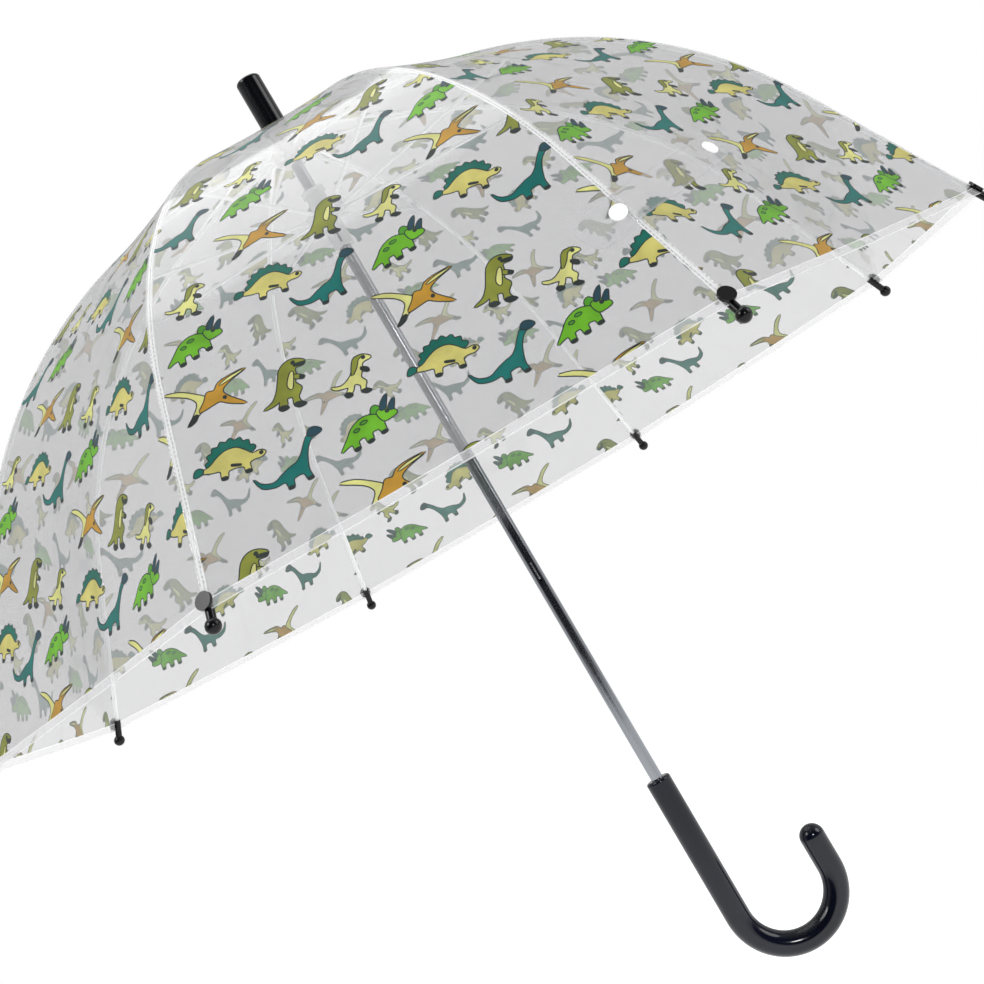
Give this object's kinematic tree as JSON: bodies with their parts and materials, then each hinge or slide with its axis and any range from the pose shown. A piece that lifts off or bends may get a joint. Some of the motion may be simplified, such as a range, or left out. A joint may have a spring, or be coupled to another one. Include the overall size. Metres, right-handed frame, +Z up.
{
  "type": "dome umbrella",
  "caption": "Child's see-through dome umbrella with printed film, flexing ribs, sliding runner, spring catches and a hooked handle.",
  "frame": {"origin": "centre of the handle's straight grip, on the shaft's axis", "axes": "+Z up the shaft towards the ferrule, +Y the way the hook opens"},
  "size_m": [0.6546, 0.6546, 0.667],
  "materials": {
    "chrome_tube": "polished",
    "milky_plastic": "satin, slightly translucent",
    "steel_wire": "bright drawn wire",
    "black_plastic": "glossy moulded",
    "grey_washer": "satin",
    "handle_plastic": "high gloss, blue black",
    "clear_film": "clear vinyl-like film with printed figures",
    "strap_film": "clear welded film",
    "white_stud": "moulded",
    "white_rod": "white resin rod, semi-gloss"
  },
  "bodies": {
    "root": {"shaft_tube": "chrome_tube", "ferrule": "black_plastic", "canopy_washer": "grey_washer", "notch": "milky_plastic", "notch_wire": "steel_wire", "handle": "handle_plastic"},
    "top_catch": {"top_catch": "steel_wire"},
    "bottom_catch": {"bottom_catch": "steel_wire"},
    "runner": {"runner": "milky_plastic", "runner_wire": "steel_wire"},
    "rib_upper_0": {"rib_upper_0": "white_rod", "canopy_upper_0": "clear_film"},
    "rib_lower_0": {"rib_lower_0": "white_rod", "rib_tip_0": "black_plastic", "canopy_lower_0": "clear_film", "closure_strap": "strap_film", "press_studs": "white_stud"},
    "stretcher_0": {"stretcher_0": "white_rod"},
    "rib_upper_1": {"rib_upper_1": "white_rod", "canopy_upper_1": "clear_film"},
    "rib_lower_1": {"rib_lower_1": "white_rod", "rib_tip_1": "black_plastic", "canopy_lower_1": "clear_film"},
    "stretcher_1": {"stretcher_1": "white_rod"},
    "rib_upper_2": {"rib_upper_2": "white_rod", "canopy_upper_2": "clear_film"},
    "rib_lower_2": {"rib_lower_2": "white_rod", "rib_tip_2": "black_plastic", "canopy_lower_2": "clear_film"},
    "stretcher_2": {"stretcher_2": "white_rod"},
    "rib_upper_3": {"rib_upper_3": "white_rod", "canopy_upper_3": "clear_film"},
    "rib_lower_3": {"rib_lower_3": "white_rod", "rib_tip_3": "black_plastic", "canopy_lower_3": "clear_film"},
    "stretcher_3": {"stretcher_3": "white_rod"},
    "rib_upper_4": {"rib_upper_4": "white_rod", "canopy_upper_4": "clear_film"},
    "rib_lower_4": {"rib_lower_4": "white_rod", "rib_tip_4": "black_plastic", "canopy_lower_4": "clear_film"},
    "stretcher_4": {"stretcher_4": "white_rod"},
    "rib_upper_5": {"rib_upper_5": "white_rod", "canopy_upper_5": "clear_film"},
    "rib_lower_5": {"rib_lower_5": "white_rod", "rib_tip_5": "black_plastic", "canopy_lower_5": "clear_film"},
    "stretcher_5": {"stretcher_5": "white_rod"},
    "rib_upper_6": {"rib_upper_6": "white_rod", "canopy_upper_6": "clear_film"},
    "rib_lower_6": {"rib_lower_6": "white_rod", "rib_tip_6": "black_plastic", "canopy_lower_6": "clear_film"},
    "stretcher_6": {"stretcher_6": "white_rod"},
    "rib_upper_7": {"rib_upper_7": "white_rod", "canopy_upper_7": "clear_film"},
    "rib_lower_7": {"rib_lower_7": "white_rod", "rib_tip_7": "black_plastic", "canopy_lower_7": "clear_film"},
    "stretcher_7": {"stretcher_7": "white_rod"}
  },
  "joints": [
    {"name": "runner_slide", "type": "slide", "parent": "root", "child": "runner", "axis": [0, 0, -1], "range_m": [0, 0.25446], "deforming": ["canopy_upper_0", "canopy_upper_1", "canopy_upper_2", "canopy_upper_3", "canopy_upper_4", "canopy_upper_5", "canopy_upper_6", "canopy_upper_7", "canopy_lower_0", "canopy_lower_1", "canopy_lower_2", "canopy_lower_3", "canopy_lower_4", "canopy_lower_5", "canopy_lower_6", "canopy_lower_7"]},
    {"name": "top_catch_press", "type": "hinge", "parent": "root", "child": "top_catch", "pos_m": [0.0016, 0, 0.41842], "axis": [0, -1, 0], "range_deg": [0, 6], "stiffness_Nm_per_rad": 0.02},
    {"name": "bottom_catch_press", "type": "hinge", "parent": "root", "child": "bottom_catch", "pos_m": [0.0016, 0, 0.22406], "axis": [0, 1, 0], "range_deg": [0, 6], "stiffness_Nm_per_rad": 0.02},
    {"name": "rib_fold_0", "type": "hinge", "parent": "root", "child": "rib_upper_0", "pos_m": [0.0097, 0.00402, 0.518], "axis": [-0.3827, 0.9239, 0], "range_deg": [0, 75.04]},
    {"name": "rib_flex_0", "type": "hinge", "parent": "rib_upper_0", "child": "rib_lower_0", "pos_m": [0.14971, 0.06201, 0.486], "axis": [-0.3827, 0.9239, 0], "range_deg": [-40.55, 0]},
    {"name": "stretcher_fold_0", "type": "hinge", "parent": "rib_upper_0", "child": "stretcher_0", "pos_m": [0.14796, 0.06129, 0.48214], "axis": [-0.3827, 0.9239, 0], "range_deg": [-159.76, 0]},
    {"name": "rib_fold_1", "type": "hinge", "parent": "root", "child": "rib_upper_1", "pos_m": [0.00402, 0.0097, 0.518], "axis": [-0.9239, 0.3827, 0], "range_deg": [0, 75.04]},
    {"name": "rib_flex_1", "type": "hinge", "parent": "rib_upper_1", "child": "rib_lower_1", "pos_m": [0.06201, 0.14971, 0.486], "axis": [-0.9239, 0.3827, 0], "range_deg": [-40.55, 0]},
    {"name": "stretcher_fold_1", "type": "hinge", "parent": "rib_upper_1", "child": "stretcher_1", "pos_m": [0.06129, 0.14796, 0.48214], "axis": [-0.9239, 0.3827, 0], "range_deg": [-159.76, 0]},
    {"name": "rib_fold_2", "type": "hinge", "parent": "root", "child": "rib_upper_2", "pos_m": [-0.00402, 0.0097, 0.518], "axis": [-0.9239, -0.3827, 0], "range_deg": [0, 75.04]},
    {"name": "rib_flex_2", "type": "hinge", "parent": "rib_upper_2", "child": "rib_lower_2", "pos_m": [-0.06201, 0.14971, 0.486], "axis": [-0.9239, -0.3827, 0], "range_deg": [-40.55, 0]},
    {"name": "stretcher_fold_2", "type": "hinge", "parent": "rib_upper_2", "child": "stretcher_2", "pos_m": [-0.06129, 0.14796, 0.48214], "axis": [-0.9239, -0.3827, 0], "range_deg": [-159.76, 0]},
    {"name": "rib_fold_3", "type": "hinge", "parent": "root", "child": "rib_upper_3", "pos_m": [-0.0097, 0.00402, 0.518], "axis": [-0.3827, -0.9239, 0], "range_deg": [0, 75.04]},
    {"name": "rib_flex_3", "type": "hinge", "parent": "rib_upper_3", "child": "rib_lower_3", "pos_m": [-0.14971, 0.06201, 0.486], "axis": [-0.3827, -0.9239, 0], "range_deg": [-40.55, 0]},
    {"name": "stretcher_fold_3", "type": "hinge", "parent": "rib_upper_3", "child": "stretcher_3", "pos_m": [-0.14796, 0.06129, 0.48214], "axis": [-0.3827, -0.9239, 0], "range_deg": [-159.76, 0]},
    {"name": "rib_fold_4", "type": "hinge", "parent": "root", "child": "rib_upper_4", "pos_m": [-0.0097, -0.00402, 0.518], "axis": [0.3827, -0.9239, 0], "range_deg": [0, 75.04]},
    {"name": "rib_flex_4", "type": "hinge", "parent": "rib_upper_4", "child": "rib_lower_4", "pos_m": [-0.14971, -0.06201, 0.486], "axis": [0.3827, -0.9239, 0], "range_deg": [-40.55, 0]},
    {"name": "stretcher_fold_4", "type": "hinge", "parent": "rib_upper_4", "child": "stretcher_4", "pos_m": [-0.14796, -0.06129, 0.48214], "axis": [0.3827, -0.9239, 0], "range_deg": [-159.76, 0]},
    {"name": "rib_fold_5", "type": "hinge", "parent": "root", "child": "rib_upper_5", "pos_m": [-0.00402, -0.0097, 0.518], "axis": [0.9239, -0.3827, 0], "range_deg": [0, 75.04]},
    {"name": "rib_flex_5", "type": "hinge", "parent": "rib_upper_5", "child": "rib_lower_5", "pos_m": [-0.06201, -0.14971, 0.486], "axis": [0.9239, -0.3827, 0], "range_deg": [-40.55, 0]},
    {"name": "stretcher_fold_5", "type": "hinge", "parent": "rib_upper_5", "child": "stretcher_5", "pos_m": [-0.06129, -0.14796, 0.48214], "axis": [0.9239, -0.3827, 0], "range_deg": [-159.76, 0]},
    {"name": "rib_fold_6", "type": "hinge", "parent": "root", "child": "rib_upper_6", "pos_m": [0.00402, -0.0097, 0.518], "axis": [0.9239, 0.3827, 0], "range_deg": [0, 75.04]},
    {"name": "rib_flex_6", "type": "hinge", "parent": "rib_upper_6", "child": "rib_lower_6", "pos_m": [0.06201, -0.14971, 0.486], "axis": [0.9239, 0.3827, 0], "range_deg": [-40.55, 0]},
    {"name": "stretcher_fold_6", "type": "hinge", "parent": "rib_upper_6", "child": "stretcher_6", "pos_m": [0.06129, -0.14796, 0.48214], "axis": [0.9239, 0.3827, 0], "range_deg": [-159.76, 0]},
    {"name": "rib_fold_7", "type": "hinge", "parent": "root", "child": "rib_upper_7", "pos_m": [0.0097, -0.00402, 0.518], "axis": [0.3827, 0.9239, 0], "range_deg": [0, 75.04]},
    {"name": "rib_flex_7", "type": "hinge", "parent": "rib_upper_7", "child": "rib_lower_7", "pos_m": [0.14971, -0.06201, 0.486], "axis": [0.3827, 0.9239, 0], "range_deg": [-40.55, 0]},
    {"name": "stretcher_fold_7", "type": "hinge", "parent": "rib_upper_7", "child": "stretcher_7", "pos_m": [0.14796, -0.06129, 0.48214], "axis": [0.3827, 0.9239, 0], "range_deg": [-159.76, 0]}
  ],
  "couplings": [
    {"joint": "rib_fold_0", "follows": "runner_slide", "rad_per_m": 5.1467},
    {"joint": "rib_flex_0", "follows": "runner_slide", "rad_per_m": -2.7811},
    {"joint": "stretcher_fold_0", "follows": "runner_slide", "rad_per_m": -10.958},
    {"joint": "rib_fold_1", "follows": "runner_slide", "rad_per_m": 5.1467},
    {"joint": "rib_flex_1", "follows": "runner_slide", "rad_per_m": -2.7811},
    {"joint": "stretcher_fold_1", "follows": "runner_slide", "rad_per_m": -10.958},
    {"joint": "rib_fold_2", "follows": "runner_slide", "rad_per_m": 5.1467},
    {"joint": "rib_flex_2", "follows": "runner_slide", "rad_per_m": -2.7811},
    {"joint": "stretcher_fold_2", "follows": "runner_slide", "rad_per_m": -10.958},
    {"joint": "rib_fold_3", "follows": "runner_slide", "rad_per_m": 5.1467},
    {"joint": "rib_flex_3", "follows": "runner_slide", "rad_per_m": -2.7811},
    {"joint": "stretcher_fold_3", "follows": "runner_slide", "rad_per_m": -10.958},
    {"joint": "rib_fold_4", "follows": "runner_slide", "rad_per_m": 5.1467},
    {"joint": "rib_flex_4", "follows": "runner_slide", "rad_per_m": -2.7811},
    {"joint": "stretcher_fold_4", "follows": "runner_slide", "rad_per_m": -10.958},
    {"joint": "rib_fold_5", "follows": "runner_slide", "rad_per_m": 5.1467},
    {"joint": "rib_flex_5", "follows": "runner_slide", "rad_per_m": -2.7811},
    {"joint": "stretcher_fold_5", "follows": "runner_slide", "rad_per_m": -10.958},
    {"joint": "rib_fold_6", "follows": "runner_slide", "rad_per_m": 5.1467},
    {"joint": "rib_flex_6", "follows": "runner_slide", "rad_per_m": -2.7811},
    {"joint": "stretcher_fold_6", "follows": "runner_slide", "rad_per_m": -10.958},
    {"joint": "rib_fold_7", "follows": "runner_slide", "rad_per_m": 5.1467},
    {"joint": "rib_flex_7", "follows": "runner_slide", "rad_per_m": -2.7811},
    {"joint": "stretcher_fold_7", "follows": "runner_slide", "rad_per_m": -10.958}
  ]
}
